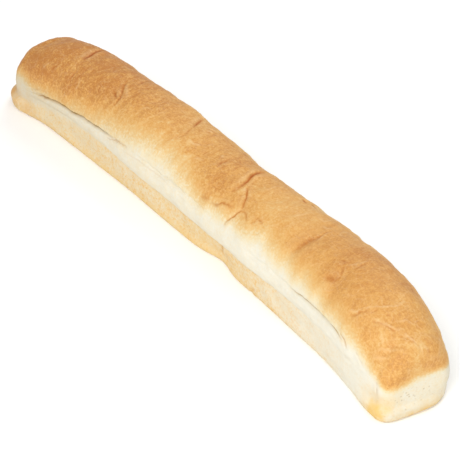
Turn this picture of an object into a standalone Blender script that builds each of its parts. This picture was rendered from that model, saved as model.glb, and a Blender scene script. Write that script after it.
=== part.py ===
# A soft white stick loaf: a rounded baked top, pale sides torn where the dough folded over, and a flat sole.
# Sizes are in millimetres. s runs along the loaf, from the far end at -255 to the near end at +255,
# b runs across it, negative at the front, and z runs up from the sole.
import bmesh
import bpy
import numpy as np

loafLength = 510.0
halfWidths = ((-255, 38), (-170, 35.7), (-55, 36.7), (25, 34.7), (90, 36), (160, 35.2), (215, 32.6), (255, 25.4))
heights = ((-255, 62.5), (-170, 67), (-95, 67), (25, 61), (90, 61.5), (160, 67), (215, 71.5), (255, 73))
bend = ((-262, -17.5), (-170, -8.5), (-95, -3), (25, 1.5), (125, 3.5), (170, 1.2), (215, -5.6), (262, -14))
middle = (-1.4, -7.4)  # centre of the bent outline, which the origin stands under

widestLevel = 0.4  # share of the height at which the loaf is widest
domePower = 2.3  # 2 makes the top's cross-section an ellipse, and more makes it squarer
soleRound = 3.0  # radius of the edge under the foot

# how the ends close: the top comes down over a stretch, then the section turns into a blunt face
endHeight = 34.0
dropPower = 2.2
nearEnd = {"drop": 73, "soleRadius": 7, "sideRadius": 10, "topRadius": 14, "backMore": 13, "bulge": 1}
farEnd = {"drop": 71, "soleRadius": 20, "sideRadius": 17, "topRadius": 20, "backMore": 0, "bulge": 1}
faceMiddle = 15.0  # height of the middle of the end faces
faceSwell = 15.0  # how far the swelling of the faces reaches
faceTurn = 20.0  # distance over which the rim of a face goes from its front share to its back one

# lines along the side, as shares of the height: the top of the golden foot, and the tear under the top crust
footLine = ((-255, 0.34), (-200, 0.38), (-140, 0.4), (-60, 0.355), (30, 0.33), (90, 0.37), (160, 0.38),
            (255, 0.43))
tearLine = ((-255, 0.45), (-220, 0.455), (-190, 0.49), (-150, 0.53), (-90, 0.585), (0, 0.605), (60, 0.575),
            (137, 0.57), (180, 0.6), (255, 0.62))
footStep = 1.2  # how far the foot stands back from the roll of pale dough above it
rollOut = 1.2  # how far that roll swells
tearHeight = 2.6
frontTear = ((-228, 0), (-195, 2.8), (-160, 3.4), (-122, 3), (-100, 1), (-20, 0.7), (100, 0.6), (145, 3),
             (196, 2.8), (214, 0))
backTear = ((-215, 0), (-170, 2.6), (-70, 3), (-20, 0.7), (70, 0.8), (110, 3), (185, 3), (226, 0))
reliefFade = (20, 60)  # distance from the ends over which foot and roll appear

# the rim of the sole stands out past the side, most at the ends, and one pinch shortens it at the front
rimOut = ((-255, 7), (-240, 4), (-215, 1.2), (-165, 2), (-120, 2), (-70, 0.8), (-20, 2), (25, 2.4), (90, 0.8),
          (150, 0.8), (222, 0), (242, 3), (255, 2.8))
backRimShare = 0.4
rimTop = ((-255, 20), (-240, 17), (-215, 13), (255, 13))  # height at which the rim ends
rimSlope = 5  # height it takes to run out
pinch = {"at": 46, "depth": 5.2, "before": 18, "after": 16, "height": 14}

# dents in the top, and lumps where the depth is negative: place along, place across, depth and radius
dents = ((-182, 4, 1.4, 9), (-118, -14, 1, 10), (-46, 8, 1.3, 10), (-8, -6, 0.9, 12), (42, 0, 1.8, 10),
         (60, -20, 1.6, 9), (124, -8, 1.7, 13), (176, -18, 1, 9), (20, 24, 1.3, 11), (140, 22, 1.2, 12),
         (-68, 27, -1.5, 18), (-128, 24, 1.2, 20), (196, 22, 0.7, 18), (84, 30, -0.9, 12))
lumpSize = 0.5

# shares of the way round from under the loaf to its top that the sole, the foot and the roll take
solePart, footPart, rollPart = 0.2, 0.14, 0.14
solePoints, footPoints, rollPoints, topPoints = 3, 4, 5, 15
bodyRows, cornerRows, faceRows = 84, 5, 3


def through(points, x):
    # smooth curve through (place, value) points
    places, values = np.array(points, float).T
    slopes = np.gradient(values, places)
    i = np.clip(np.searchsorted(places, x) - 1, 0, len(places) - 2)
    gap = places[i + 1] - places[i]
    t = np.clip((x - places[i]) / gap, 0, 1)
    fromLeft = (1 + 2 * t) * (1 - t) ** 2 * values[i] + t * (1 - t) ** 2 * gap * slopes[i]
    fromRight = t * t * (3 - 2 * t) * values[i + 1] - t * t * (1 - t) * gap * slopes[i + 1]
    return fromLeft + fromRight


def rise(x, low, high):
    t = np.clip((x - low) / (high - low), 0, 1)
    return t * t * (3 - 2 * t)


def bell(x, width):
    return np.exp(-((x / width) ** 2))


def heightAt(s):
    height = through(heights, s)
    for end, outward in ((nearEnd, s), (farEnd, -s)):
        t = np.clip(1 - (loafLength / 2 - outward) / end["drop"], 0, 1)
        height = endHeight + (height - endHeight) * (1 - t**dropPower) ** (1 / dropPower)
    return height


def halfSection(s, v):
    # from the edge of the sole to the top: place across, height, way out, and the two lines of the side
    height, width = heightAt(s), through(halfWidths, s)
    level = widestLevel * height
    footTop, tear = through(footLine, s) * height, through(tearLine, s) * height
    foot = np.clip((v - solePart) / footPart, 0, 1)
    roll = np.clip((v - solePart - footPart) / rollPart, 0, 1)
    top = np.clip((v - solePart - footPart - rollPart) / (1 - solePart - footPart - rollPart), 0, 1)
    first = np.arcsin(((tear - level) / (height - level)) ** (domePower / 2))
    angle = first + (np.pi / 2 - first) * top
    onTop = top > 0
    z = np.where(onTop, level + (height - level) * np.sin(angle) ** (2 / domePower),
                 footTop * foot + (tear - footTop) * roll)
    up = np.clip((z - level) / (height - level), 0, 1)
    b = np.where(onTop, width * np.cos(angle).clip(0) ** (2 / domePower),
                 width * (1 - up**domePower) ** (1 / domePower))
    outB, outZ = (b / width) ** (domePower - 1) / width, up ** (domePower - 1) / (height - level)
    size = np.hypot(outB, outZ)
    b = b - soleRound * (1 - np.sqrt(1 - np.clip(1 - z / soleRound, 0, 1) ** 2))
    return b, z, outB / size, outZ / size, footTop, tear


def rimAt(s, z, front):
    top = through(rimTop, s)
    return through(rimOut, s) * (1 - rise(z, top - rimSlope, top)) * (front + backRimShare * (1 - front))


def relief(s, b, z, side, footTop, tear):
    # how far the skin stands out from the plain section
    front = (1 - side) / 2
    body = rise(loafLength / 2 - np.abs(s), *reliefFade)
    swell = rollOut * np.sin(np.pi * np.clip((z - footTop) / (tear - footTop), 0, 1))
    step = footStep * (1 - rise(z, footTop - 1.5, footTop)) * rise(z, 0, soleRound)
    torn = through(frontTear, s) * front + through(backTear, s) * (1 - front)
    past = s - pinch["at"]
    pinched = pinch["depth"] * bell(past, np.where(past < 0, pinch["before"], pinch["after"]))
    out = body * (swell - step) - torn.clip(0) * bell(z - tear, tearHeight)
    out = out + rimAt(s, z, front) - pinched * bell(z, pinch["height"]) * front
    across = side * b
    for at, over, depth, radius in dents:
        out = out - depth * bell(np.hypot(s - at, across - over), radius) * rise(z, tear, tear + 8)
    lumps = np.sin(s / 23 + across / 19) + np.sin(s / 41 - across / 13 + 2) * np.cos(s / 17 + z / 15)
    return out + lumpSize * lumps * rise(z, soleRound, 4 * soleRound)


def cornerRadius(end, v, side):
    parts = (solePart, solePart + footPart, solePart + footPart + rollPart, 1)
    radii = (end["soleRadius"], end["sideRadius"], end["sideRadius"], end["topRadius"])
    return np.interp(v, parts, radii) + end["backMore"] * side.clip(0) * rise(v, parts[1], parts[0])


def skin(along, end, turn, face, v, side):
    # points of the loaf's surface: along goes 0 to 1 over the body, turn 0 to 1 round the corner of an end,
    # face 0 to 1 over the end's face to its middle, and end is -1 at the far end and 1 at the near one
    inSole = np.clip(v / solePart, 0, 1)
    side = side * inSole
    farRadius, nearRadius = cornerRadius(farEnd, v, side), cornerRadius(nearEnd, v, side)
    s = (farRadius - loafLength / 2) * (1 - along) + (loafLength / 2 - nearRadius) * along
    b, z, outB, outZ, footTop, tear = halfSection(s, np.maximum(v, solePart))
    out = relief(s, b, z, side, footTop, tear)
    bent = turn * np.pi / 2
    b, z = b + outB * out * np.cos(bent), z + outZ * out

    radius = np.where(end < 0, farRadius, nearRadius)
    bulge = np.where(end < 0, farEnd["bulge"], nearEnd["bulge"])
    inset, lift = radius * (1 - np.cos(bent)), soleRound * (1 - np.cos(bent))
    b = b * (1 - inset / through(halfWidths, s)) * (1 - face)
    fromMiddle = z - faceMiddle
    closing = np.where(fromMiddle > 0, inset / (heightAt(s) - faceMiddle), lift / faceMiddle)
    z = faceMiddle + fromMiddle * (1 - closing) * (1 - face)
    onFace = np.sin(bent) ** 2
    swollen = bulge * bell(side * b, faceSwell) * bell(z - faceMiddle, faceSwell)
    faceOut = rimAt(end * loafLength / 2, z, rise(-side * b, -faceTurn, faceTurn)) + swollen
    s = s + end * ((radius + outB * out * (1 - onFace)) * np.sin(bent) + onFace * faceOut)

    slope = (through(bend, s + 1) - through(bend, s - 1)) / 2
    across = side * b / np.hypot(1, slope)
    return np.stack((s - across * slope - middle[0], through(bend, s) + across - middle[1], z), axis=-1)


def lengthwiseRows():
    # (along, end, turn, face) of each row, from the middle of the far face to the middle of the near one
    body = [(t, 0, 0, 0) for t in np.linspace(0, 1, bodyRows)]
    corner = [(turn, 0) for turn in np.linspace(0, 1, cornerRows + 1)[1:]]
    face = [(1, share) for share in np.linspace(0, 1, faceRows + 1)[1:]]
    far = [(0, -1, turn, share) for turn, share in reversed(corner + face)]
    near = [(1, 1, turn, share) for turn, share in corner + face]
    return np.array(far + body + near, float)


def crosswisePoints():
    # share of the half girth and side of each point round the loaf, from under its middle and back
    parts = np.cumsum((0, solePart, footPart, rollPart, 1 - solePart - footPart - rollPart))
    counts = (solePoints, footPoints, rollPoints, topPoints)
    half = [np.linspace(a, b, n, endpoint=False) for a, b, n in zip(parts, parts[1:], counts)]
    half = np.concatenate(half + [[1.0]])
    return np.concatenate((half, half[-2::-1])), np.repeat((-1.0, 1.0), (len(half), len(half) - 1))


def crustMaterial():
    material = bpy.data.materials.new("crust")
    material.use_nodes = True
    shader = material.node_tree.nodes["Principled BSDF"]
    shader.inputs["Base Color"].default_value = (0.72, 0.40, 0.15, 1)
    shader.inputs["Roughness"].default_value = 0.6
    shader.inputs["Metallic"].default_value = 0
    return material


def makeLoaf():
    rows = lengthwiseRows()
    shares, sides = crosswisePoints()
    bm = bmesh.new()
    bmesh.ops.create_grid(bm, x_segments=len(rows) - 1, y_segments=len(shares) - 1, size=1)
    flat = np.array([v.co for v in bm.verts])
    row = np.rint((flat[:, 0] + 1) / 2 * (len(rows) - 1)).astype(int)
    column = np.rint((flat[:, 1] + 1) / 2 * (len(shares) - 1)).astype(int)
    points = skin(*rows[row].T, shares[column], sides[column]) / 1000
    for vert, point in zip(bm.verts, points):
        vert.co = point
    bmesh.ops.remove_doubles(bm, verts=bm.verts, dist=1e-5)
    bmesh.ops.recalc_face_normals(bm, faces=bm.faces)
    mesh = bpy.data.meshes.new("loaf")
    bm.to_mesh(mesh)
    bm.free()
    mesh.shade_smooth()
    mesh.materials.append(crustMaterial())
    loaf = bpy.data.objects.new("loaf", mesh)
    bpy.context.collection.objects.link(loaf)
    return loaf


for old in list(bpy.data.objects):
    bpy.data.objects.remove(old)
makeLoaf()
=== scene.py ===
# A soft white stick loaf on a pale table: the baked crust with its torn sides, creases and bake colours,
# and the light and view it is shown in. Lengths are in millimetres until the points are placed. s runs
# along the loaf, from the far end at -255 to the near end at +255, b runs across it, negative at the
# front, and z runs up from the sole.
from math import cos, radians, sin

import bmesh
import bpy
import numpy as np
from mathutils import Matrix, Vector, noise


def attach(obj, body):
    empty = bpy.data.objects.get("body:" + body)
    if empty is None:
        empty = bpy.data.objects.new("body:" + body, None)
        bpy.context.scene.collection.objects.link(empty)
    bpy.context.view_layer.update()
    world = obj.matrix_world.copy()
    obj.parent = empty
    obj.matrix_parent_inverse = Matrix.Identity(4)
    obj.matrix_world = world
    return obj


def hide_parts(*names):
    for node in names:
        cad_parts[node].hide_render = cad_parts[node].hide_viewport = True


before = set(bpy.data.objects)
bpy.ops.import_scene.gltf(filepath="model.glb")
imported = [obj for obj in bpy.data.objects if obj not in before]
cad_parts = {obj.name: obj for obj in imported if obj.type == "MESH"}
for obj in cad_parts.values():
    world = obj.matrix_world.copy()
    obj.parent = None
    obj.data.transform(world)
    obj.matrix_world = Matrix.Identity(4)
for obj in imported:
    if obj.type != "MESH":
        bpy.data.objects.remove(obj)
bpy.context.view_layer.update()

loaf = {
    # the form, as in the frame's solid
    "loafLength": 510.0,
    "halfWidths": ((-255, 38), (-170, 35.7), (-55, 36.7), (25, 34.7), (90, 36), (160, 35.2), (215, 32.6),
                   (255, 25.4)),
    "heights": ((-255, 62.5), (-170, 67), (-95, 67), (25, 61), (90, 61.5), (160, 67), (215, 71.5),
                (255, 73)),
    "bend": ((-262, -17.5), (-170, -8.5), (-95, -3), (25, 1.5), (125, 3.5), (170, 1.2), (215, -5.6),
             (262, -14)),
    "middle": (-1.4, -7.4),
    "widestLevel": 0.4,
    "domePower": 2.3,
    "soleRound": 3.0,
    "endHeight": 34.0,
    "dropPower": 2.2,
    "nearEnd": {"drop": 73, "soleRadius": 7, "sideRadius": 10, "topRadius": 14, "backMore": 13, "bulge": 1},
    "farEnd": {"drop": 71, "soleRadius": 20, "sideRadius": 17, "topRadius": 20, "backMore": 0, "bulge": 1},
    "faceMiddle": 15.0,
    "faceSwell": 15.0,
    "faceTurn": 20.0,
    "footLine": ((-255, 0.34), (-200, 0.38), (-140, 0.4), (-60, 0.355), (30, 0.33), (90, 0.37),
                 (160, 0.38), (255, 0.43)),
    "tearLine": ((-255, 0.45), (-220, 0.455), (-190, 0.49), (-150, 0.53), (-90, 0.585), (0, 0.605),
                 (60, 0.575), (137, 0.57), (180, 0.6), (255, 0.62)),
    "footStep": 1.2,
    "rollOut": 1.2,
    "frontTear": ((-228, 0), (-195, 2.8), (-160, 3.4), (-122, 3), (-100, 1), (-20, 0.7), (100, 0.6),
                  (145, 3), (196, 2.8), (214, 0)),
    "backTear": ((-215, 0), (-170, 2.6), (-70, 3), (-20, 0.7), (70, 0.8), (110, 3), (185, 3), (226, 0)),
    "reliefFade": (20, 60),
    "rimOut": ((-255, 7), (-240, 4), (-215, 1.2), (-165, 2), (-120, 2), (-70, 0.8), (-20, 2), (25, 2.4),
               (90, 0.8), (150, 0.8), (222, 0), (242, 3), (255, 2.8)),
    "backRimShare": 0.4,
    "rimSlope": 5,
    "pinch": {"at": 46, "depth": 5.2, "before": 18, "after": 16, "height": 14},
    "dents": ((-182, 4, 1.4, 9), (-118, -14, 1, 10), (-46, 8, 1.3, 10), (-8, -6, 0.9, 12),
              (42, 0, 1.8, 10), (60, -20, 1.6, 9), (124, -8, 1.7, 13), (176, -18, 1, 9),
              (20, 24, 1.3, 11), (140, 22, 1.2, 12), (-68, 27, -1.5, 18), (-128, 24, 1.2, 20),
              (196, 22, 0.7, 18), (84, 30, -0.9, 12)),
    "lumpSize": 0.5,
    "solePart": 0.2,
    "footPart": 0.14,
    "rollPart": 0.14,
    # how high the ledge of the foot reaches: at the far end a little lower than in the solid
    "rimTop": ((-255, 16), (-240, 14.5), (-215, 12), (255, 13)),
    # finer than the solid: how many points lie along sole, foot, roll and top of each half, and how many
    # rows, which are closer together round (place, width, how much closer)
    "frontPoints": (8, 18, 26, 62),
    "backPoints": (6, 10, 18, 44),
    "bodyRows": 470,
    "cornerRows": 12,
    "faceRows": 9,
    "closerRows": ((-184, 12, 0.9), (-114, 12, 0.5), (41, 15, 1.3), (124, 8, 0.5), (233, 28, 1.0)),
    "weld": 1e-5,  # metres
    # the tear: narrower than in the solid, with a line that wavers over (grain, height) and sags near the
    # near end, and open by a share of the solid's depth
    "tearBelow": 1.5,
    "tearWaver": ((17.0, 0.8), (5.0, 0.6)),
    "tearSag": ((-255, 0), (140, 0), (185, -1.9), (214, -2.8), (255, 0)),
    "tearOpen": ((-228, 0.3), (-207, 0.45), (-190, 0.85), (-170, 1), (90, 1), (110, 0.3), (132, 0.4),
                 (150, 0.7), (170, 0.75), (198, 0.75), (209, 0.1), (255, 0.1)),
    "openTear": 3,  # a tear this deep is fully open
    # the painted shade in the tear: how dark at the front and the back, how wide, and how it comes and goes,
    # as grain, level and reach
    "tearShade": ((-228, 0), (-207, 0.4), (-190, 0.8), (-170, 0.9), (-130, 0.8), (-108, 0.25), (-90, 0),
                  (135, 0), (150, 0.75), (175, 1.0), (197, 1.0), (210, 0)),
    "backTearShade": ((-215, 0), (-180, 0.7), (-75, 0.7), (-40, 0), (90, 0), (115, 0.7), (190, 0.7),
                      (222, 0)),
    "tearMark": ((-255, 1.3), (60, 1.3), (150, 1.0), (255, 1.0)),
    "tearBreaks": (9, 0.9, 0.6),
    # the lip of top crust over the tear stands out and hangs down: how far, how high up, over what width
    "lipSharpness": 0.7,
    "lipOut": (0.5, 2.2, 1.8),
    "lipDrop": (0.4, 0.9, 1.0),
    # the line above the foot, and the painted shadow under the roll's overhang there: its darkness, place
    # below the line and width
    "footEdge": 0.7,
    "footCrease": 0.35,
    "footShadowMark": (0.2, 0.2, 1.5),
    "dentFade": 8,  # dents fade out towards the tear over this height
    # uneven skin: (grain, height)
    "unevenness": ((13.0, 0.7), (6.0, 0.34), (2.6, 0.12)),
    "crumple": {"at": (236, -10), "radius": (30, 24), "above": (30, 42), "grain": 7.0, "sharpness": 6,
                "height": 0.12},
    # creases wander off their line: over how far, and how far. Those of the top stop at a share of the
    # height. Beside a crease the skin is pushed up and carries a painted highlight, and beside a wrinkle a
    # painted shadow: how strong, how far off and how wide, in half widths of the crease
    "wander": (3.0, 0.7),
    "topFrom": 0.6,
    # how wide the crease's mark of darker crust and painted shade is, in half widths of the crease
    "creaseMark": 1.7,
    "pushedUp": (0.2, 2.4, 1.2),
    "lipHighlight": (0.35, 2.1, 0.9),
    "wrinkleShadow": (1.0, 2.2, 1.0),
    "wrinkleShadowDarkness": 0.3,
}

# creases of the top: points (s, b) they run through, then half width, depth and darkness, which is darker
# crust and painted shade in the crease
topCreases = (
    (((-180, -7), (-183, 0.5), (-184.5, 5.5), (-185.5, 9.5), (-185.5, 18)), 1.8, 1.5, 1.0),
    (((-180, -7.5), (-179, -14.5), (-173, -19.5), (-173.5, -25), (-168, -29.5)), 0.8, 0.5, 0.4),
    (((-167.5, -6.5), (-165, -16), (-166, -22), (-165.5, -26), (-164.5, -28.5)), 0.7, 0.35, 0.3),
    (((-195.5, -22), (-196.5, -25), (-198, -27.5)), 0.8, 0.35, 0.3),
    (((-197, -26.5), (-195, -23.5), (-194.5, -20.5)), 1.0, 0.5, 0.4),
    (((-138.5, -17), (-138, -20), (-136.5, -23)), 1.0, 0.5, 0.5),
    (((-93.5, -14.5), (-89.5, -8.5), (-89.5, 0)), 0.8, 0.3, 0.22),
    (((-82, -7), (-84.5, 3.5), (-90.5, 17.5)), 0.9, 0.4, 0.3),
    (((-128.5, -13.5), (-122.5, -15.5), (-117.5, -18), (-112, -19)), 1.3, 0.7, 0.5),
    (((-125.5, -0.5), (-121, -6.5), (-117.5, -11), (-112.5, -16.5), (-111.5, -21.5), (-112.5, -26)),
     1.3, 0.9, 0.6),
    (((-144, -1), (-150, 5)), 1.0, 0.5, 0.45),
    (((-204.5, 2), (-199.5, 4), (-196.5, 6)), 0.8, 0.4, 0.4),
    (((-115.5, 2.5), (-116, 8), (-118.5, 15.5)), 1.3, 0.7, 0.55),
    (((-42, -22.5), (-40, -14), (-38, -6)), 0.9, 0.4, 0.3),
    (((-19.5, -4), (-17.5, 2.5), (-15, 8.5)), 0.9, 0.4, 0.35),
    (((-11.5, -9.5), (-12, -5), (-12, -2)), 0.8, 0.3, 0.3),
    (((12.2, -10.5), (10.8, -3.5), (9.2, 6.5)), 1.1, 0.5, 0.5),
    (((-37.5, -16), (-37, -11), (-37, -5), (-40, 0), (-42, 5.5)), 1.1, 0.6, 0.45),
    (((-42, 5.5), (-45.5, 11.5), (-47.5, 15.5), (-52, 23)), 1.5, 1.2, 1.0),
    (((-9.5, -10), (-9.5, -7.5), (-10, -3)), 1.0, 0.5, 0.45),
    (((-33, 10.6), (-29.5, 12), (-26, 11.5)), 0.7, 0.4, 0.5),
    (((-36.5, 14.6), (-31.5, 16), (-27.5, 17.5)), 0.7, 0.4, 0.5),
    (((-87, 14.5), (-82.5, 19.5)), 0.7, 0.4, 0.35),
    (((11.4, -10), (9.4, -5.2), (8.8, -1.5)), 1.3, 0.5, 0.5),
    (((40.5, -18.5), (41, -14), (41, -9.5), (39.5, -4.5)), 2.3, 0.8, 0.4),
    (((40.5, -10), (40, -5.5), (38, 0.5), (36, 5.5), (35.5, 9.5), (36.5, 16)), 1.7, 1.4, 1.0),
    (((45, -6.5), (50.5, -11.2), (53.7, -14.3), (55.4, -17.3), (57, -19.7), (59.5, -22.6)), 1.2, 0.65, 0.9),
    (((51, -32.8), (54.5, -30), (56.5, -27.8), (58, -25.4), (60, -23)), 1.0, 0.6, 1.0),
    (((59, -22.5), (64.5, -23.5), (71, -26.5)), 0.9, 0.6, 0.55),
    (((29, -29.5), (36.7, -28.6), (40.4, -26.6), (44.2, -25.8), (49, -25.3), (52.5, -24.4)), 1.0, 0.4, 0.6),
    (((17, -30), (28, -29)), 1.4, 0.4, 0.35),
    (((74.5, -26.5), (77, -23.5), (78, -20.5)), 0.9, 0.5, 0.45),
    (((77.5, -20.8), (81, -21.8), (85, -22)), 1.0, 0.4, 0.55),
    (((22, 11.5), (26.5, 10)), 1.1, 0.5, 0.6),
    (((79.5, 19), (84.5, 18)), 1.3, 0.7, 0.8),
    (((123.5, -27), (125, -21.5), (125, -17), (125, -13), (125.5, -8), (127.5, -2)), 3.6, 1.3, 0.4),
    (((123, -12), (125.5, -7), (127, -2), (126.5, 2.5), (127, 8)), 0.9, 0.6, 0.55),
    (((132.5, -11.5), (132, -7)), 0.8, 0.3, 0.3),
    (((177.5, -9), (177.5, -6), (176.5, -2), (176.5, 2.5)), 1.0, 0.4, 0.4),
    (((162, -8.5), (166, -8.5)), 1.1, 0.5, 0.5),
    (((162, -22.5), (167, -23), (171, -22), (175, -21)), 2.2, 0.8, 0.42),
    (((175.5, -21), (172.5, -15.5), (169, -12)), 1.0, 0.4, 0.45),
    (((133, 7.8), (133.6, 9.3)), 1.0, 0.4, 0.6),
    (((146.6, -0.8), (147.8, 0.2)), 1.0, 0.4, 0.5),
    (((87, 22), (94.6, 20)), 1.0, 0.7, 0.8),
    (((205.5, -27), (209.5, -24), (212.5, -20.5), (213.5, -17)), 0.7, 0.4, 0.4),
    (((216, -17.5), (218, -13.5)), 0.8, 0.4, 0.3),
    (((221, -20), (224, -18.5), (225.5, -16), (229.5, -14)), 0.7, 0.4, 0.45),
    (((229, -14.5), (234.5, -11.5), (236.5, -7.5)), 0.6, 0.3, 0.4),
    (((239.5, -8.5), (242.5, -4.5), (245.5, -2)), 1.1, 0.4, 0.22),
    (((245.2, -4.6), (247.6, -2.8), (250.6, -0.2)), 0.7, 0.4, 0.5),
    (((248, 1), (251, 0), (253.5, -3)), 0.6, 0.3, 0.4),
    (((238.8, -18.4), (242.5, -15), (245.5, -12), (248.3, -7.6)), 0.6, 0.3, 0.3),
    (((249.5, -6.5), (251.5, -4.5), (254, -4)), 0.6, 0.25, 0.25),
    (((223.5, -11), (225.5, -7)), 0.8, 0.3, 0.35),
    (((251.5, 5.5), (253.5, 9)), 0.8, 0.4, 0.45),
    # the side that the view doesn't show
    (((-210, 30), (-204, 25)), 1.3, 0.8, 0.5),
    (((-160, 33), (-156, 29), (-158, 25)), 1.3, 0.9, 0.6),
    (((-96, 32), (-91, 27)), 1.3, 0.8, 0.5),
    (((-8, 33), (-3, 28), (-5, 25)), 1.3, 0.9, 0.6),
    (((58, 33), (61, 28)), 1.3, 0.8, 0.5),
    (((122, 34), (126, 29), (124, 25)), 1.5, 1.0, 0.6),
    (((186, 32), (190, 27)), 1.3, 0.7, 0.45),
)

# marks low on the front: points (s, z), then half width, depth and darkness, which is darker crust and
# painted shade in the crease
sideCreases = (
    (((52, 22), (48, 16), (44, 8)), 1.5, 0.9, 0.55),
    (((-219, 30), (-205, 35.5), (-198, 37), (-192, 35)), 0.9, 0.5, 0.3),
    (((-209, 28), (-203, 31), (-198, 30), (-193, 33)), 0.8, 0.7, 0.5),
    (((-107, 35.5), (-90, 40), (-76, 41.5)), 0.8, 0.6, 0.5),
    (((-86, 36), (-60, 38.5), (-26, 38), (-11, 35)), 0.8, 0.3, 0.18),
    (((244.5, 30), (246, 25), (248, 16)), 0.8, 0.7, 0.55),
    (((89, 0.5), (91, 4), (95, 6.5)), 2.0, 1.1, 0.3),
    (((103.5, 8.5), (104.5, 10.5)), 1.0, 0.6, 0.6),
    (((204, 42), (210, 40), (214, 36)), 1.2, 0.7, 0.6),
    (((222, 39), (226, 36), (232, 33)), 0.9, 0.4, 0.2),
)

# raised wrinkles of the top, with a painted highlight along them: points (s, b), then half width, height
# and paleness, the strength of that painted highlight
wrinkles = (
    (((212, -20.5), (212.5, -17), (215, -13), (219, -8.5), (220.5, -3.5), (220.5, 2.5), (218, 7)),
     0.7, 0.35, 0.6),
    (((202.5, -26.5), (206.5, -24), (210, -22.5)), 0.7, 0.3, 0.5),
    (((219.5, -19), (223.5, -17), (229, -14), (232.5, -11.5), (235.5, -8.5), (237.5, -4)), 0.7, 0.3, 0.6),
    (((239.5, -5), (244, -3.5), (247.5, -2.5), (249.5, -1)), 0.7, 0.4, 1.0),
    (((249.5, 0.5), (251, 1.5)), 1.3, 0.5, 1.0),
    (((246.5, 3), (250.5, 1.5), (253, 1), (255, 1.5)), 0.6, 0.3, 0.7),
    (((249, 2.5), (251, 5), (253, 7.5)), 0.6, 0.3, 0.6),
    (((236, -23), (241, -19.5), (244.5, -15.5), (248.5, -11.5)), 0.6, 0.35, 0.65),
    (((231, -18), (234.5, -19), (238, -19.5)), 0.7, 0.35, 0.65),
    (((235.5, -26), (242, -23), (246.5, -19)), 0.6, 0.35, 0.6),
    (((231.5, -5.5), (232, -0.5), (236, 3.5)), 0.6, 0.35, 0.6),
    (((-26.5, -12.5), (-28.5, -8), (-23, -7), (-18.5, -3)), 0.8, 0.3, 0.7),
    (((47, -12), (45, -8)), 1.3, 0.4, 0.7),
    (((2, 1.5), (5.5, 0)), 1.0, 0.5, 0.9),
    (((71.5, -0.5), (77, 0.5), (83.5, -2)), 0.6, 0.25, 0.4),
    (((96, -6.3), (98, 0), (99.3, 7), (99, 13)), 0.7, 0.35, 0.55),
    (((106, 10.5), (114, 11), (115, 17.5)), 0.7, 0.3, 0.6),
    (((117, 7), (123, 7), (124.5, 11)), 0.7, 0.3, 0.6),
    (((127.3, 4.8), (128.8, -1.8), (130.3, -8.4)), 0.7, 0.4, 0.6),
    (((135.5, 8.3), (131.5, 15), (131, 20)), 0.7, 0.4, 0.6),
    (((89, -23.5), (93, -19), (98.5, -17)), 0.6, 0.25, 0.35),
    (((169.4, -9.4), (172.4, -5), (174.4, 0.7), (174, 5.5)), 0.7, 0.3, 0.55),
    (((-160.5, -29.5), (-160, -26), (-163.5, -21.5)), 0.8, 0.25, 0.45),
    (((-121, -4.5), (-112.5, -9.5), (-106, -14)), 1.3, 0.4, 0.5),
    (((-86, -15), (-83, -10), (-76, -9.5)), 0.8, 0.25, 0.4),
    (((-209, -30), (-206.5, -26), (-203.5, -22.5)), 0.7, 0.25, 0.35),
    (((-11.5, -17.5), (-9, -14), (-3.5, -13.5)), 1.0, 0.25, 0.5),
    (((-68.5, -12), (-70, -7), (-68, -2)), 0.7, 0.25, 0.4),
    (((-87, 16), (-83, 21)), 1.1, 0.8, 0.6),
    (((-74.5, 21), (-68, 21.5), (-63, 23)), 0.9, 0.7, 0.6),
    (((-62, 25), (-52.5, 23)), 0.9, 0.7, 0.6),
    (((-32.5, 12), (-29, 13.5), (-26.5, 13)), 0.9, 0.8, 1.0),
    (((-36, 16), (-31, 17.5), (-27.5, 19)), 0.8, 0.8, 1.0),
    (((23, 10.5), (26, 11)), 1.0, 0.6, 0.7),
    (((38, 0.5), (40.5, 6.5), (42.5, 14.5)), 0.7, 0.3, 0.5),
    (((54.5, -0.5), (59.5, 2.5), (58, 10), (64.5, 16)), 0.7, 0.3, 0.45),
    (((79, 21), (85, 20.5)), 0.9, 0.6, 0.6),
    (((90.5, 21), (96, 21)), 0.9, 0.6, 0.6),
    (((242, 21), (249.5, 17), (253, 17), (254, 20)), 0.8, 0.35, 0.5),
    (((169, -28.5), (176, -27.5), (179, -25)), 0.6, 0.25, 0.35),
)

# places of the top baked darker or paler than their surroundings: (s, b), radius and how much
toastPatches = (
    ((-215, -1), 17, 0.12), ((-230, -25), 5, 0.15), ((-121, -8), 5, 0.15), ((-21, -14), 5, 0.2),
    ((-16, 11), 7, 0.1), ((23, -23), 9, 0.08), ((15, 4), 7, 0.1), ((161, 2), 6, 0.1),
    ((169, -1), 12, 0.04), ((171, -19), 5, 0.08), ((122, -9), 6, 0.1), ((229, -1), 9, 0.1),
    ((253, -15), 6, 0.1), ((224, -27), 5, 0.08), ((253, 11), 5, 0.07), ((-51, -25), 8, -0.1),
    ((-27, -9), 3, -0.25), ((-16, -19), 4, -0.2), ((78, -6), 10, -0.08), ((253, -4), 4, -0.15),
    ((250, 1), 3, -0.2), ((197, -27), 7, -0.06), ((-112, -9), 3, -0.12), ((-86, -15), 5, -0.08),
    ((233, -19), 5, -0.08), ((-25, 13), 3, 0.15), ((-17, 9), 3, -0.12), ((45, -11), 3, -0.2),
    ((147, -13), 5, -0.06), ((223, -18), 4, -0.1), ((-183, -29), 9, -0.05), ((-163, -1), 7, 0.08),
    ((-77, 8), 9, 0.06), ((249, -20), 4, 0.08), ((208, -26), 4, -0.08), ((-150, 22), 9, 0.1),
    ((-60, 24), 8, -0.08), ((60, 26), 9, 0.1), ((150, 24), 8, -0.07), ((205, 20), 8, 0.1),
)


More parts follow.
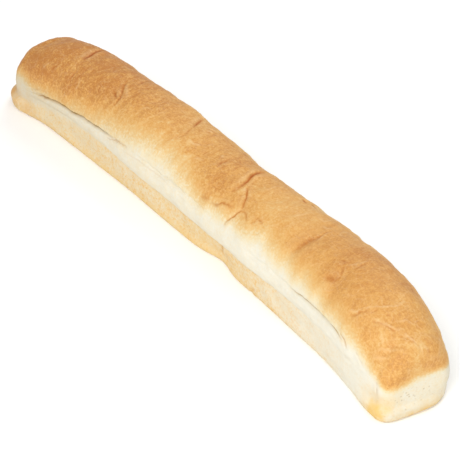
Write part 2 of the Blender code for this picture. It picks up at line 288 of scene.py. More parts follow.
def through(points, x):
    # smooth curve through (place, value) points
    places, values = np.array(points, float).T
    slopes = np.gradient(values, places)
    i = np.clip(np.searchsorted(places, x) - 1, 0, len(places) - 2)
    gap = places[i + 1] - places[i]
    t = np.clip((x - places[i]) / gap, 0, 1)
    fromLeft = (1 + 2 * t) * (1 - t) ** 2 * values[i] + t * (1 - t) ** 2 * gap * slopes[i]
    fromRight = t * t * (3 - 2 * t) * values[i + 1] - t * t * (1 - t) * gap * slopes[i + 1]
    return fromLeft + fromRight


def rise(x, low, high):
    t = np.clip((x - low) / (high - low), 0, 1)
    return t * t * (3 - 2 * t)


def bell(x, width):
    return np.exp(-((x / width) ** 2))


def heightAt(s):
    height = through(loaf["heights"], s)
    for end, outward in ((loaf["nearEnd"], s), (loaf["farEnd"], -s)):
        t = np.clip(1 - (loaf["loafLength"] / 2 - outward) / end["drop"], 0, 1)
        height = loaf["endHeight"] + (height - loaf["endHeight"]) * (1 - t ** loaf["dropPower"]) ** (
            1 / loaf["dropPower"])
    return height


def halfSection(s, v):
    # from the edge of the sole to the top: place across, height, way out, and the two lines of the side
    solePart, footPart, rollPart = loaf["solePart"], loaf["footPart"], loaf["rollPart"]
    power = loaf["domePower"]
    height, width = heightAt(s), through(loaf["halfWidths"], s)
    level = loaf["widestLevel"] * height
    footTop, tear = through(loaf["footLine"], s) * height, through(loaf["tearLine"], s) * height
    tear = tear + through(loaf["tearSag"], s)
    for grain, reach in loaf["tearWaver"]:
        tear = tear + reach * np.array([noise.noise((at / grain, grain, 0.5)) for at in s])
    foot = np.clip((v - solePart) / footPart, 0, 1)
    roll = np.clip((v - solePart - footPart) / rollPart, 0, 1)
    top = np.clip((v - solePart - footPart - rollPart) / (1 - solePart - footPart - rollPart), 0, 1)
    first = np.arcsin(((tear - level) / (height - level)) ** (power / 2))
    angle = first + (np.pi / 2 - first) * top
    onTop = top > 0
    z = np.where(onTop, level + (height - level) * np.sin(angle) ** (2 / power),
                 footTop * foot + (tear - footTop) * roll)
    up = np.clip((z - level) / (height - level), 0, 1)
    b = np.where(onTop, width * np.cos(angle).clip(0) ** (2 / power), width * (1 - up**power) ** (1 / power))
    outB, outZ = (b / width) ** (power - 1) / width, up ** (power - 1) / (height - level)
    size = np.hypot(outB, outZ)
    b = b - loaf["soleRound"] * (1 - np.sqrt(1 - np.clip(1 - z / loaf["soleRound"], 0, 1) ** 2))
    return b, z, outB / size, outZ / size, footTop, tear


def distanceTo(line, points):
    # distance from each point to a line of points, and the share of the line's length where it is nearest
    nearest, share = np.full(len(points), np.inf), np.zeros(len(points))
    runs = np.diff(line, axis=0)
    lengths = np.linalg.norm(runs, axis=1)
    for start, run, length, before in zip(line, runs, lengths, np.cumsum(lengths) - lengths):
        t = np.clip((points - start) @ run / length**2, 0, 1)
        gap = np.linalg.norm(points - start - t[:, None] * run, axis=1)
        closer = gap < nearest
        nearest[closer] = gap[closer]
        share[closer] = (before + t[closer] * length) / lengths.sum()
    return nearest, share


def sharpened(darkness):
    # the material raises the fold mark to a power, which draws a line finer than the points are spaced
    return darkness ** (1 / crust["foldPower"])


def noiseAt(places):
    return np.array([noise.noise(Vector(place)) for place in places])


def thinned(share):
    # a crease or wrinkle runs out towards both of its ends
    return np.sqrt(np.sin(np.pi * share).clip(0))


def beside(mark, gap, width):
    strength, away, over = loaf[mark]
    return strength * bell(gap - away * width, over * width)


def creases(s, b, z, side):
    # how deep the skin is folded in at each point, how dark the fold is, as darker crust and painted shade in
    # a crease and painted shadow beside a wrinkle, and how strong the painted highlight on lips and wrinkles
    # is
    grain, reach = loaf["wander"]
    wander = reach * noiseAt(np.stack((s, side * b, z), axis=1) / grain)
    topPlaces = np.stack((s + wander, side * b - wander), axis=1)
    sidePlaces = np.stack((s + wander, z - wander), axis=1)
    onTop = z > loaf["topFrom"] * heightAt(s)
    depth, dark, lip = np.zeros(len(s)), np.zeros(len(s)), np.zeros(len(s))
    for line, width, high, paleness in wrinkles:
        gap, share = distanceTo(np.array(line, float), topPlaces)
        shown = thinned(share) * onTop
        depth -= high * shown * bell(gap, width)
        # painted highlight along the raised wrinkle
        lip = np.maximum(lip, paleness * shown * bell(gap, width))
        # painted shadow beside the raised wrinkle
        marked = sharpened(loaf["wrinkleShadowDarkness"] * paleness) * shown
        dark = np.maximum(dark, marked * beside("wrinkleShadow", gap, width))
    for lines, places, there in ((topCreases, topPlaces, onTop), (sideCreases, sidePlaces, side < 0)):
        for line, width, deep, darkness in lines:
            gap, share = distanceTo(np.array(line, float), places)
            shown = thinned(share) * there
            depth += deep * shown * (bell(gap, width) - beside("pushedUp", gap, width))
            # darker crust and painted shade along the crease
            dark = np.maximum(dark, sharpened(darkness * shown) * bell(gap, loaf["creaseMark"] * width))
            # painted highlight on the pushed-up lips beside the crease
            lip = np.maximum(lip, darkness * shown * beside("lipHighlight", gap, width))
    return depth, dark, lip


def unevenSkin(s, b, z, side):
    # soft lumps all over, and a crumpled patch of skin near the near end
    places = np.stack((s, side * b, z), axis=1)
    height = np.zeros(len(s))
    for grain, size in loaf["unevenness"]:
        height += size * noiseAt(places / grain)
    patch = loaf["crumple"]
    along, over = s - patch["at"][0], side * b - patch["at"][1]
    there = bell(along, patch["radius"][0]) * bell(over, patch["radius"][1]) * rise(z, *patch["above"])
    ridges = (1 - patch["sharpness"] * np.abs(noiseAt(places / patch["grain"]))).clip(0)
    return height + patch["height"] * there * ridges, there


def rimAt(s, z, front):
    top = through(loaf["rimTop"], s)
    return through(loaf["rimOut"], s) * (1 - rise(z, top - loaf["rimSlope"], top)) * (
        front + loaf["backRimShare"] * (1 - front))


def relief(s, b, z, side, footTop, tear):
    # how far the skin stands out from the plain section and hangs down, and the marks its folds leave: darker
    # crust, painted shade and painted highlight at creases, painted shade in the tear and painted shadow
    # under the roll above the foot
    front = (1 - side) / 2
    body = rise(loaf["loafLength"] / 2 - np.abs(s), *loaf["reliefFade"])
    swell = loaf["rollOut"] * np.sin(np.pi * np.clip((z - footTop) / (tear - footTop), 0, 1))
    step = loaf["footStep"] * (1 - rise(z, footTop - loaf["footEdge"], footTop))
    step = step * rise(z, 0, loaf["soleRound"])
    torn = through(loaf["frontTear"], s) * through(loaf["tearOpen"], s) * front
    torn = (torn + through(loaf["backTear"], s) * (1 - front)).clip(0)
    pinch = loaf["pinch"]
    past = s - pinch["at"]
    pinched = pinch["depth"] * bell(past, np.where(past < 0, pinch["before"], pinch["after"]))

    above = z - tear
    gash = bell(above, np.where(above < 0, loaf["tearBelow"], loaf["lipSharpness"]))
    openness = torn / loaf["openTear"]
    out = body * (swell - step - loaf["footCrease"] * bell(z - footTop, loaf["footEdge"])) - torn * gash
    standing, lipAbove, lipWidth = loaf["lipOut"]
    out = out + standing * openness * bell(above - lipAbove, lipWidth)
    out = out + rimAt(s, z, front) - pinched * bell(z, pinch["height"]) * front
    across = side * b
    for at, over, depth, radius in loaf["dents"]:
        dent = depth * bell(np.hypot(s - at, across - over), radius)
        out = out - dent * rise(z, tear, tear + loaf["dentFade"])
    lumps = np.sin(s / 23 + across / 19) + np.sin(s / 41 - across / 13 + 2) * np.cos(s / 17 + z / 15)
    out = out + loaf["lumpSize"] * lumps * rise(z, loaf["soleRound"], 4 * loaf["soleRound"])

    folded, foldDark, lip = creases(s, b, z, side)
    rough, crumple = unevenSkin(s, b, z, side)
    out = out - folded + rough * rise(z, loaf["soleRound"], 3 * loaf["soleRound"])
    hanging, lipAbove, lipWidth = loaf["lipDrop"]
    drop = hanging * openness * bell(above - lipAbove, lipWidth) * (above > -0.5)
    grain, level, reach = loaf["tearBreaks"]
    broken = np.array([level + reach * noise.noise((at / grain, 3.5, 0.5)) for at in s]).clip(0, 1)
    shade = through(loaf["tearShade"], s) * front + through(loaf["backTearShade"], s) * (1 - front)
    markWidth = through(loaf["tearMark"], s)
    # painted shade in the tear
    tearShadow = sharpened(shade.clip(0, 1) * broken) * bell(above + 0.7 * markWidth, markWidth)
    darkness, below, footWidth = loaf["footShadowMark"]
    # painted shadow under the roll's overhang, just below the foot line
    footShadow = sharpened(darkness * body) * bell(z - footTop + below, footWidth)
    marks = {"fold": np.maximum(foldDark, footShadow), "tear": tearShadow, "lip": lip, "crumple": crumple}
    return out, drop, torn * body, marks


def cornerRadius(end, v, side):
    solePart, footPart, rollPart = loaf["solePart"], loaf["footPart"], loaf["rollPart"]
    parts = (solePart, solePart + footPart, solePart + footPart + rollPart, 1)
    radii = (end["soleRadius"], end["sideRadius"], end["sideRadius"], end["topRadius"])
    return np.interp(v, parts, radii) + end["backMore"] * side.clip(0) * rise(v, parts[1], parts[0])


def skin(along, end, turn, face, v, side):
    # points of the crust, placed as the solid's are: along goes 0 to 1 over the body, turn 0 to 1 round
    # the corner of an end and face 0 to 1 over the end's face to its middle. The marks that colour each
    # point come with it
    inSole = np.clip(v / loaf["solePart"], 0, 1)
    side = side * inSole
    farEnd, nearEnd, faceMiddle = loaf["farEnd"], loaf["nearEnd"], loaf["faceMiddle"]
    farRadius, nearRadius = cornerRadius(farEnd, v, side), cornerRadius(nearEnd, v, side)
    s = (farRadius - loaf["loafLength"] / 2) * (1 - along) + (loaf["loafLength"] / 2 - nearRadius) * along
    b, z, outB, outZ, footTop, tear = halfSection(s, np.maximum(v, loaf["solePart"]))
    bent = turn * np.pi / 2
    radius = np.where(end < 0, farRadius, nearRadius)
    placeAlong = s + end * radius * np.sin(bent)
    out, drop, torn, marks = relief(placeAlong, b, z, side, footTop, tear)
    marks = {name: values * (1 - face) for name, values in marks.items()}
    around = np.degrees(np.arctan2(z - loaf["widestLevel"] * heightAt(s), b))
    b, z = b + outB * out * np.cos(bent), z + outZ * out - drop

    bulge = np.where(end < 0, farEnd["bulge"], nearEnd["bulge"])
    inset, lift = radius * (1 - np.cos(bent)), loaf["soleRound"] * (1 - np.cos(bent))
    b = b * (1 - inset / through(loaf["halfWidths"], s)) * (1 - face)
    fromMiddle = z - faceMiddle
    closing = np.where(fromMiddle > 0, inset / (heightAt(s) - faceMiddle), lift / faceMiddle)
    z = faceMiddle + fromMiddle * (1 - closing) * (1 - face)
    onFace = np.sin(bent) ** 2
    swollen = bulge * bell(side * b, loaf["faceSwell"]) * bell(z - faceMiddle, loaf["faceSwell"])
    turned = rise(-side * b, -loaf["faceTurn"], loaf["faceTurn"])
    faceOut = rimAt(end * loaf["loafLength"] / 2, z, turned) + swollen
    s = s + end * ((radius + outB * out * (1 - onFace)) * np.sin(bent) + onFace * faceOut)
    onEnd = rise(turn, *bake["ownBorder"])
    marks.update(bakeMarks(s, side * b, z, side, end, onEnd, around, footTop, tear, torn))

    slope = (through(loaf["bend"], s + 1) - through(loaf["bend"], s - 1)) / 2
    across = side * b / np.hypot(1, slope)
    middle = loaf["middle"]
    x = s - across * slope - middle[0]
    y = through(loaf["bend"], s) + across - middle[1]
    return np.stack((x, y, z), axis=-1), marks


bake = {
    # where the brown top turns pale, at the front and the back: degrees up round the dome from its widest
    # place, and how soft that border is in degrees
    "frontLine": ((-255, 26), (-240, 25), (-220, 22), (-205, 21), (-180, 18), (-160, 21), (-120, 36),
                  (-80, 44), (-30, 50), (20, 37), (60, 39), (100, 44), (160, 39), (200, 32), (233, 30),
                  (244, 24), (250, 15), (255, 10)),
    "frontSoftness": ((-255, 14), (-215, 18), (-180, 26), (-100, 37), (-60, 30), (-20, 33), (20, 26),
                      (60, 20), (100, 24), (180, 27), (220, 20), (243, 15), (250, 10), (255, 9)),
    "backLine": ((-255, 36), (-190, 38), (-120, 42), (-60, 34), (10, 41), (80, 36), (150, 42), (210, 38),
                 (255, 33)),
    "backSoftness": 22,
    "waver": (17, 7, 6),  # the border wavers up and down: grain of two noises, and degrees
    "ownBorder": (0.15, 0.85),  # how far round its corner an end's own border takes over
    # how brown the top is, how strongly its colour mottles, how much browner than dough the pale parts are,
    # and where the dough is dulled to straw and darkened. Towards the far end the browning and dulling are
    # partly the bake and partly painted shade, where less light falls
    "strength": ((-255, 0.85), (-225, 0.94), (-180, 0.95), (-120, 0.88), (-80, 0.74), (-20, 0.67),
                 (20, 0.76), (60, 0.65), (95, 0.6), (140, 0.75), (170, 0.8), (200, 0.75), (225, 0.67),
                 (255, 0.61)),
    "mottling": ((-255, 1.08), (20, 1.1), (90, 1.0), (130, 0.78), (200, 0.78), (230, 1.0), (255, 1.0)),
    "paleness": ((-255, 0.1), (-180, 0.08), (-120, 0.05), (-60, 0.05), (60, 0.03), (255, 0)),
    "straw": ((-255, 1.0), (-215, 0.85), (-170, 0.5), (-110, 0.2), (-40, 0.0)),
    # on the ends: the height of the same border, for places across them, how soft it is, and how much
    # browner the pale dough is there. Below a torn lip the dough stays pale: from what depth, and where
    "nearBorder": ((-27, 27.3), (-16, 29.2), (-2, 33), (16, 34), (26, 31.4)),
    "nearSoftness": ((-27, 5), (-12, 5.5), (4, 4.5), (26, 2.8)),
    "farBorder": ((-34, 33), (0, 37), (30, 35)),
    "farSoftness": 3.5,
    "facePaleness": 0.06,
    "tornDepth": 2,
    "tornEdge": (-1.2, 0.8),
    # the golden foot, how far its gold stops short of its top line and how soft that border is
    "goldBelow": ((-255, 7), (-190, 5.5), (-140, 2), (-100, 0.3), (130, 0), (180, 1), (255, 3)),
    "footGold": ((-255, 0.9), (-190, 0.65), (-60, 0.85), (40, 0.92), (100, 0.72), (140, 0.4), (190, 0.18),
                 (225, 0.04), (255, 0.2)),
    "goldEdge": (-1, 0.6),
    # more gold low down, and deeper gold at the edge of the sole, each with the height it reaches
    "rimGold": ((-255, 0.45), (80, 0.45), (150, 0.15), (225, 0.1), (255, 0.45)),
    "rimReach": 4.5,
    "edgeGold": ((-255, 0.6), (-100, 0.6), (60, 0.55), (120, 0.4), (225, 0.3), (255, 0.45)),
    "edgeReach": 2.8,
    # deeper gold of the corners, and where the near face has pits with painted shade in them: (s, b, z,
    # radius, strength)
    "corners": ((250, -27, 7, 13, 0.95), (-254, -36, 10, 9, 1.15), (-245, -38, 6, 12, 0.6),
                (-225, -38, 3, 11, 0.8), (257, 4, 1, 7, 1.0), (257, -6, 1, 6, 1.1), (256, -15, 0, 5, 0.8),
                (253, 14, 4, 7, 0.7)),
    "porous": ((257, -11, 17, 8, 1.0), (257, 2, 19, 7, 1.0), (255, -20, 12, 6, 1.0)),
}


def strongest(spots, s, across, z):
    nearest = np.zeros(len(s))
    for at, over, height, radius, strength in spots:
        away = np.sqrt((s - at) ** 2 + (across - over) ** 2 + (z - height) ** 2)
        nearest = np.maximum(nearest, strength * bell(away, radius))
    return nearest


def bakeMarks(s, across, z, side, end, onEnd, around, footTop, tear, torn):
    # how brown and how golden each point has baked
    front = (1 - side) / 2
    line = through(bake["frontLine"], s) * front + through(bake["backLine"], s) * (1 - front)
    softness = through(bake["frontSoftness"], s) * front + bake["backSoftness"] * (1 - front)
    coarse, small, reach = bake["waver"]
    line = line + reach * np.array([
        noise.noise((x / coarse, y / coarse, 0.5)) + 0.5 * noise.noise((x / small, y / small, 5.5))
        for x, y in zip(s, side)])
    border = np.where(end < 0, through(bake["farBorder"], across), through(bake["nearBorder"], across))
    endSoftness = np.where(end < 0, bake["farSoftness"], through(bake["nearSoftness"], across))
    ratio = (around - line) / softness * (1 - onEnd) + (z - border) / endSoftness * onEnd
    tornOpen = (torn / bake["tornDepth"]).clip(0, 1) * (1 - rise(z - tear, *bake["tornEdge"]))
    baked = rise(ratio, -1, 1) * (1 - tornOpen)
    pale = through(bake["paleness"], s) + bake["facePaleness"] * onEnd
    for (at, over), radius, more in toastPatches:
        pale = pale + more * baked * bell(np.hypot(s - at, across - over), radius) * (z > footTop)
    brown = pale + (through(bake["strength"], s) - through(bake["paleness"], s)) * baked

    below = through(bake["goldBelow"], s)
    low, high = bake["goldEdge"]
    stopped = rise(z - footTop + below, low - 0.5 * below, high + 0.5 * below)
    gold = through(bake["footGold"], s) * (1 - stopped) * (1 - onEnd)
    gold = gold + through(bake["rimGold"], s) * bell(z - 1, bake["rimReach"])
    edge = through(bake["edgeGold"], s) * bell(z, bake["edgeReach"])
    return {
        "brown": brown,
        "gold": gold,
        "corner": np.maximum(strongest(bake["corners"], s, across, z), edge),
        "straw": through(bake["straw"], s) * (1 - 0.5 * gold),
        "porous": strongest(bake["porous"], s, across, z),
        "mottling": through(bake["mottling"], s),
    }


def spaced(count, closeness):
    # places from 0 to 1, closer together where closeness is high
    fine = np.linspace(0, 1, 4001)
    filled = np.cumsum(closeness(fine))
    filled = (filled - filled[0]) / (filled[-1] - filled[0])
    return np.interp(np.linspace(0, 1, count), filled, fine)


def lengthwiseRows():
    # (along, end, turn, face) of each row, from the middle of the far face to the middle of the near one
    def closeness(t):
        s = (t - 0.5) * loaf["loafLength"]
        return 1 + sum(more * bell(s - at, width) for at, width, more in loaf["closerRows"])

    body = [(t, 0, 0, 0) for t in spaced(loaf["bodyRows"], closeness)]
    corner = [(turn, 0) for turn in np.linspace(0, 1, loaf["cornerRows"] + 1)[1:]]
    face = [(1, share) for share in np.linspace(0, 1, loaf["faceRows"] + 1)[1:]]
    far = [(0, -1, turn, share) for turn, share in reversed(corner + face)]
    near = [(1, 1, turn, share) for turn, share in corner + face]
    return np.array(far + body + near, float)


def crosswisePoints():
    # share of the half girth and side of each point round the loaf, closer together at the foot line and
    # the tear
    parts = np.cumsum((0, loaf["solePart"], loaf["footPart"], loaf["rollPart"]))
    parts = np.append(parts, 1)
    closeness = (
        lambda t: 1 + 0 * t,
        lambda t: 1 + 1.5 * bell(t - 1, 0.15),
        lambda t: 1 + 1.5 * bell(t, 0.12) + 2.2 * bell(t - 1, 0.2),
        lambda t: 1 + 3 * bell(t, 0.05) + 0.6 * rise(t, 0.3, 0.7),
    )

    def half(counts):
        shares = [low + (high - low) * spaced(count + 1, close)[:-1]
                  for low, high, count, close in zip(parts, parts[1:], counts, closeness)]
        return np.concatenate(shares + [[1.0]])

    front, back = half(loaf["frontPoints"]), half(loaf["backPoints"])
    return np.concatenate((front, back[-2::-1])), np.repeat((-1.0, 1.0), (len(front), len(back) - 1))


def makeLoaf():
    rows = lengthwiseRows()
    shares, sides = crosswisePoints()
    bm = bmesh.new()
    bmesh.ops.create_grid(bm, x_segments=len(rows) - 1, y_segments=len(shares) - 1, size=1)
    flat = np.array([v.co for v in bm.verts])
    row = np.rint((flat[:, 0] + 1) / 2 * (len(rows) - 1)).astype(int)
    column = np.rint((flat[:, 1] + 1) / 2 * (len(shares) - 1)).astype(int)
    places, marks = skin(*rows[row].T, shares[column], sides[column])
    for vert, place in zip(bm.verts, places / 1000):
        vert.co = place
    for name, values in marks.items():
        layer = bm.verts.layers.float.new(name)
        for vert, value in zip(bm.verts, values.tolist()):
            vert[layer] = value
    bmesh.ops.remove_doubles(bm, verts=bm.verts, dist=loaf["weld"])
    bmesh.ops.recalc_face_normals(bm, faces=bm.faces)
    mesh = bpy.data.meshes.new("bakedLoaf")
    bm.to_mesh(mesh)
    bm.free()
    mesh.shade_smooth()
    piece = bpy.data.objects.new("bakedLoaf", mesh)
    bpy.context.collection.objects.link(piece)
    mesh.materials.append(crustFinish())
    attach(piece, "root")
    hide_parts("loaf")


class Wire:
    # one socket of a material, on which sums are written as Python
    def __init__(self, tree, socket=None):
        self.tree = tree
        self.socket = socket

    def node(self, kind, settings=None, inputs=None, output=0):
        made = self.tree.nodes.new(kind)
        for name, value in (settings or {}).items():
            if name == "stops":
                self.setStops(made.color_ramp, value)
            else:
                setattr(made, name, value)
        for name, value in (inputs or {}).items():
            if isinstance(value, Wire):
                self.tree.links.new(value.socket, made.inputs[name])
            else:
                made.inputs[name].default_value = value
        return Wire(self.tree, made.outputs[output])

    def setStops(self, ramp, stops):
        while len(ramp.elements) < len(stops):
            ramp.elements.new(1)
        for element, (place, colour) in zip(ramp.elements, stops):
            element.position = place
            element.color = colour

    def math(self, operation, first, second):
        return self.node("ShaderNodeMath", {"operation": operation}, {0: first, 1: second})

    def __add__(self, other):
        return self.math("ADD", self, other)

    def __radd__(self, other):
        return self.math("ADD", other, self)

    def __sub__(self, other):
        return self.math("SUBTRACT", self, other)

    def __rsub__(self, other):
        return self.math("SUBTRACT", other, self)

    def __mul__(self, other):
        return self.math("MULTIPLY", self, other)

    def __rmul__(self, other):
        return self.math("MULTIPLY", other, self)

    def held(self, low, high):
        # runs from 0 to 1 as this socket goes from low to high
        return self.node("ShaderNodeMapRange", {"interpolation_type": "SMOOTHSTEP"},
                         {"Value": self, "From Min": low, "From Max": high})


def tone(red, green, blue):
    # a colour as the eye reads it, from 0 to 255, made linear for the shader
    def linear(part):
        part = part / 255
        return part / 12.92 if part <= 0.04045 else ((part + 0.055) / 1.055) ** 2.4

    return linear(red), linear(green), linear(blue), 1.0


crust = {
    # from pale dough to the darkest crust
    "bakeTones": ((0.0, tone(222, 217, 201)), (0.15, tone(223, 206, 168)), (0.32, tone(219, 186, 130)),
                  (0.5, tone(215, 169, 102)), (0.66, tone(209, 155, 85)), (0.82, tone(198, 141, 74)),
                  (1.0, tone(184, 121, 58))),
    # noise over the skin: scale per metre, detail, roughness and how much browner and paler it makes the
    # crust. Soft and fine noise, and then gritty noise, show this much in dough and this much more in crust
    "mottle": ((36, 3.0, 0.6, 0.35), (190, 5.0, 0.75, 0.8), (560, 2.0, 0.6, 1.15)),
    "clouding": (0.12, 1.2),
    "graining": (0.1, 0.92),
    # fine streaks in the crust and the dough: scale, how they are drawn out, middle level and strength
    "streaks": (240, (1.0, 0.35, 0.35), 0.5, 0.6),
    "doughStreaks": (330, (0.1, 1.0, 1.0), 0.56, 0.5),
    "doughShade": tone(205, 200, 190),
    # the far end's pale dough: partly its own dull straw colour, partly painted shade where less light falls
    "strawAndShadeTone": tone(231, 229, 229),  # dulls the pale dough of the far end
    # the golden foot, flecks over it that have baked further, and the edges and corners, where the ledge of
    # the far end is browner. Each level is swayed by so much of two or three noises
    "gold": tone(221, 194, 144),
    "goldLevels": (0.93, 0.8, 1.6, 1.6),
    "toastedGold": tone(220, 173, 104),
    "toastedLevels": (0.03, 1.3, 1.2, 2.0),
    "footPatches": 95,
    "cornerGold": tone(224, 188, 116),
    "cornerLevels": (0.8, 3.5, 1.2),
    "ledgeTone": tone(206, 160, 102),
    # folds, in pale dough and in brown crust: darker crust and painted shade in creases, and painted shadow
    # beside wrinkles and under the roll above the foot. Then the painted shade in the tear. The power draws
    # their marks out finely
    "foldShades": (tone(212, 162, 88), tone(202, 138, 42)),
    "tearShadowTone": tone(198, 160, 72),
    "foldPower": 6,
    # pale skin: as painted highlight on the lips of folds and on raised wrinkles, and as the skin's own
    # colour in nets of fine cracks, as scale, how far they are bent, line width, strength and the noise range
    # they show in, and in flecks, as scale, range and strength
    "paleSkinAndHighlight": tone(226, 190, 138),
    "lipHighlightShare": 0.75,
    "crackles": ((58, 0.35, 0.03, 0.3, (0.42, 0.62)), (170, 0.5, 0.09, 0.26, (0.35, 0.6))),
    "crackleBend": 70.0,
    "crackleShares": (0.7, 0.2),  # everywhere, and how much more in the crumpled patch
    "flecks": (560, (0.66, 0.76), 0.16),
    # dark specks, and the painted shade in the pits of the near face: scale and size, and the scale and range
    # of their patches. The specks show this much in dough, and more in brown crust and on the golden foot
    "speckleTone": tone(150, 96, 44),
    "specks": (260, 0.15, 90.0, (0.5, 0.56)),
    "speckShares": (0.1, 0.3, 0.3),
    "pitShadeTone": tone(190, 170, 135),
    "pits": (340, 0.3, 170.0, (0.3, 0.4)),
    "pitShadeShare": 0.6,
    "roughness": (0.74, 0.56, 0.3),  # of pale dough and of brown crust, and how far fine noise sways it
    "specular": 0.25,
    # strength and height, in metres, of the skin's grain and pores, and how wide a pore is
    "grainBump": (0.7, 0.0003),
    "poreBump": (0.3, 0.0004),
    "poreWidth": 0.35,
}


def crustFinish():
    material = bpy.data.materials.new("crust")
    material.use_nodes = True
    tree = material.node_tree
    shader = tree.nodes["Principled BSDF"]
    start = Wire(tree)
    brown, gold, corner, straw, porous, mottling, fold, tear, lip, crumple = (
        start.node("ShaderNodeAttribute", {"attribute_name": name}, output="Fac") for name in (
            "brown", "gold", "corner", "straw", "porous", "mottling", "fold", "tear", "lip", "crumple"))
    place = start.node("ShaderNodeTexCoord", output="Object")

    def cloud(scale, detail=3.0, roughness=0.6, where=place):
        return start.node("ShaderNodeTexNoise", {}, {
            "Vector": where, "Scale": scale, "Detail": detail, "Roughness": roughness}, output="Fac")

    def blended(below, above, share, way="MIX"):
        return start.node("ShaderNodeMix", {"data_type": "RGBA", "blend_type": way, "clamp_factor": True},
                          {0: share, 6: below, 7: above}, output=2)

    def vector(operation, first, second):
        return start.node("ShaderNodeVectorMath", {"operation": operation}, {0: first, 1: second},
                          output="Vector")

    def swayed(name, *fields):
        # a level that each of the noises sways by its own amount
        level, *amounts = crust[name]
        for amount, field in zip(amounts, fields):
            level = level + (field - 0.5) * amount
        return level

    def dots(scale, size, patchScale, patchRange, patchDetail):
        # round spots, shown in patches, and the distance to the middle of the nearest
        cells = start.node("ShaderNodeTexVoronoi", {"feature": "F1"}, {"Vector": place, "Scale": scale},
                           output="Distance")
        return (1 - cells.held(size * 0.5, size)) * cloud(patchScale, patchDetail).held(*patchRange), cells

    soft, fine, grit = (cloud(scale, detail, roughness) for scale, detail, roughness, _ in crust["mottle"])
    streakScale, drawnOut, streakLevel, streakStrength = crust["streaks"]
    streak = cloud(streakScale, 4.0, 0.65, vector("MULTIPLY", place, drawnOut))
    clouded, mottled, grainy = (
        (field - 0.5) * layer[3] for field, layer in zip((soft, fine, grit), crust["mottle"]))
    grainy = grainy + (streak - streakLevel) * streakStrength
    (inDough, inCrust), (grainDough, grainCrust) = crust["clouding"], crust["graining"]
    uneven = (clouded + mottled) * (inDough + brown * brown * brown * inCrust)
    uneven = uneven + grainy * (grainDough + brown * grainCrust)
    toasted = brown + uneven * mottling
    colour = start.node("ShaderNodeValToRGB", {"stops": crust["bakeTones"]}, {"Fac": toasted}, output="Color")

    # painted shade and dull straw colour on the pale dough of the far end
    colour = blended(colour, crust["strawAndShadeTone"], straw * (1 - brown * 1.2), "MULTIPLY")
    doughScale, drawnOut, doughLevel, doughStrength = crust["doughStreaks"]
    dough = cloud(doughScale, 3.0, 0.6, vector("MULTIPLY", place, drawnOut))
    dough = (dough - doughLevel) * doughStrength
    colour = blended(colour, crust["doughShade"], dough * (1 - brown), "MULTIPLY")
    golden = gold * (1 - brown)
    colour = blended(colour, crust["gold"], golden * swayed("goldLevels", soft, fine, grit))
    patchy = cloud(crust["footPatches"], 4.0, 0.65)
    flecked = swayed("toastedLevels", patchy, fine, grit).held(0.0, 0.9)
    colour = blended(colour, crust["toastedGold"], golden * flecked)
    cornered = corner * swayed("cornerLevels", soft, fine)
    cornerTone = blended(crust["cornerGold"], crust["ledgeTone"], (straw * 1.6).held(0.0, 1.0))
    colour = blended(colour, cornerTone, cornered * (1 - brown))

    # nets of fine pale cracks, shown in parts, and flecks where the skin has blistered
    bent = start.node("ShaderNodeTexNoise", {}, {
        "Vector": place, "Scale": crust["crackleBend"], "Detail": 3.0}, output="Color")
    bent = vector("SUBTRACT", bent, (0.5, 0.5, 0.5))
    cracked = 0.0
    for scale, bending, lineWidth, strength, shown in crust["crackles"]:
        moved = vector("ADD", place, vector("MULTIPLY", bent, (bending / scale * 3,) * 3))
        net = start.node("ShaderNodeTexVoronoi", {"feature": "DISTANCE_TO_EDGE"}, {
            "Vector": moved, "Scale": scale}, output="Distance")
        cracked = cracked + (1 - net.held(0.0, lineWidth)) * cloud(scale * 0.8, 2.0).held(*shown) * strength
    everywhere, inPatch = crust["crackleShares"]
    cracked = cracked * (everywhere + crumple * inPatch) * (brown * 1.4).held(0.2, 0.9)
    fleckScale, fleckRange, fleckStrength = crust["flecks"]
    flecks = cloud(fleckScale, 0.0).held(*fleckRange) * (brown * 0.8 + 0.15) * fleckStrength
    # painted highlight on lips and raised wrinkles, with the pale flecks and cracks of the skin itself
    colour = blended(colour, crust["paleSkinAndHighlight"], flecks + cracked + lip * crust["lipHighlightShare"])

    specks, cells = dots(*crust["specks"], 2.0)
    inDough, inCrust, inGold = crust["speckShares"]
    colour = blended(colour, crust["speckleTone"], specks * (inDough + brown * inCrust + gold * inGold))

    # darker crust and painted shade in creases, painted shadow beside wrinkles and under the roll above the
    # foot
    line = fold.math("POWER", fold, crust["foldPower"])
    paleFold, brownFold = crust["foldShades"]
    foldShade = blended(paleFold, brownFold, (brown * 1.6).held(0.1, 1.0))
    colour = blended(colour, foldShade, line, "MULTIPLY")
    # painted shade in the tear
    colour = blended(colour, crust["tearShadowTone"], tear.math("POWER", tear, crust["foldPower"]), "MULTIPLY")
    # painted shade in the pits of the near face
    pits, _ = dots(*crust["pits"], 1.0)
    colour = blended(colour, crust["pitShadeTone"], pits * porous * crust["pitShadeShare"], "MULTIPLY")
    tree.links.new(colour.socket, shader.inputs["Base Color"])

    pale, browned, swaying = crust["roughness"]
    rough = pale + (browned - pale) * brown + (fine - 0.5) * swaying
    tree.links.new(rough.socket, shader.inputs["Roughness"])
    shader.inputs["Specular IOR Level"].default_value = crust["specular"]

    def bump(height, name, inputs):
        strength, distance = crust[name]
        return start.node("ShaderNodeBump", {}, {
            "Height": height, "Strength": strength, "Distance": distance, **inputs}, output="Normal")

    grain = bump(fine + grit * 0.5 + streak * 0.5 + cracked * 0.8, "grainBump", {})
    bumped = bump(cells.held(0.0, crust["poreWidth"]), "poreBump", {"Normal": grain})
    tree.links.new(bumped.socket, shader.inputs["Normal"])
    return material


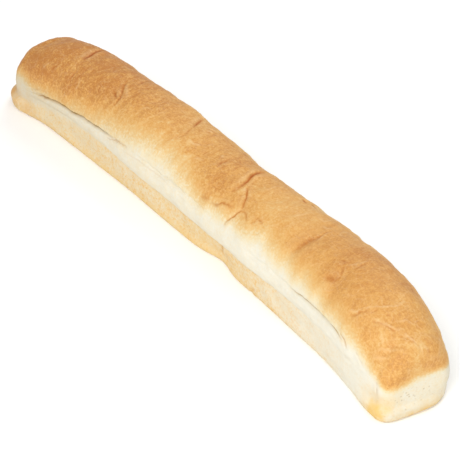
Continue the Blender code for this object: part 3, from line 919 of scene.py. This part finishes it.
studio = {
    "floorSize": 4.0,
    "floorTone": tone(253, 253, 252),
    "floorRoughness": 0.9,
    "ambient": 0.5,
    # name: place in metres, size, watts
    "lights": {
        "softboxFront": ((0.72, -1.15, 1.3), 1.1, 23.0),
        "softboxEnd": ((1.6, -0.1, 1.1), 1.1, 6.0),
        "softboxBack": ((-0.6, 1.25, 1.2), 1.3, 12.0),
    },
}


def facing(place, back):
    # where a lamp or camera stands, with its back turned the way that is given
    turned = Vector(back).to_track_quat("Z", "Y").to_matrix().to_4x4()
    return Matrix.Translation(place) @ turned


def makeStudio():
    bm = bmesh.new()
    bmesh.ops.create_grid(bm, x_segments=1, y_segments=1, size=studio["floorSize"] / 2)
    mesh = bpy.data.meshes.new("floor")
    bm.to_mesh(mesh)
    bm.free()
    floor = bpy.data.objects.new("floor", mesh)
    bpy.context.collection.objects.link(floor)
    material = bpy.data.materials.new("paleTable")
    material.use_nodes = True
    shader = material.node_tree.nodes["Principled BSDF"]
    shader.inputs["Base Color"].default_value = studio["floorTone"]
    shader.inputs["Roughness"].default_value = studio["floorRoughness"]
    mesh.materials.append(material)

    world = bpy.data.worlds.new("paleRoom")
    world.use_nodes = True
    background = world.node_tree.nodes["Background"]
    background.inputs["Color"].default_value = (1, 1, 1, 1)
    background.inputs["Strength"].default_value = studio["ambient"]
    bpy.context.scene.world = world
    bpy.context.scene.view_settings.view_transform = "Standard"

    for name, (place, size, watts) in studio["lights"].items():
        data = bpy.data.lights.new(name, "AREA")
        data.shape = "DISK"
        data.size = size
        data.energy = watts
        light = bpy.data.objects.new(name, data)
        light.matrix_world = facing(place, place)
        bpy.context.collection.objects.link(light)


view = {
    "target": (0.04229, -0.00963, 0.022),
    "azimuth": 55.43,  # degrees from the front towards the near end
    "elevation": 36.99,
    "distance": 1.06,
    "lens": 109.25,
    "sensor": 36,
}


def makeCamera():
    turn, up = radians(view["azimuth"]), radians(view["elevation"])
    back = Vector((sin(turn) * cos(up), -cos(turn) * cos(up), sin(up)))
    data = bpy.data.cameras.new("photoView")
    data.lens = view["lens"]
    data.sensor_width = view["sensor"]
    camera = bpy.data.objects.new("photoView", data)
    camera.matrix_world = facing(Vector(view["target"]) + back * view["distance"], back)
    bpy.context.collection.objects.link(camera)
    bpy.context.scene.camera = camera


print("baking the loaf")
makeLoaf()
print("setting up the table and lights")
makeStudio()
print("placing the camera")
makeCamera()
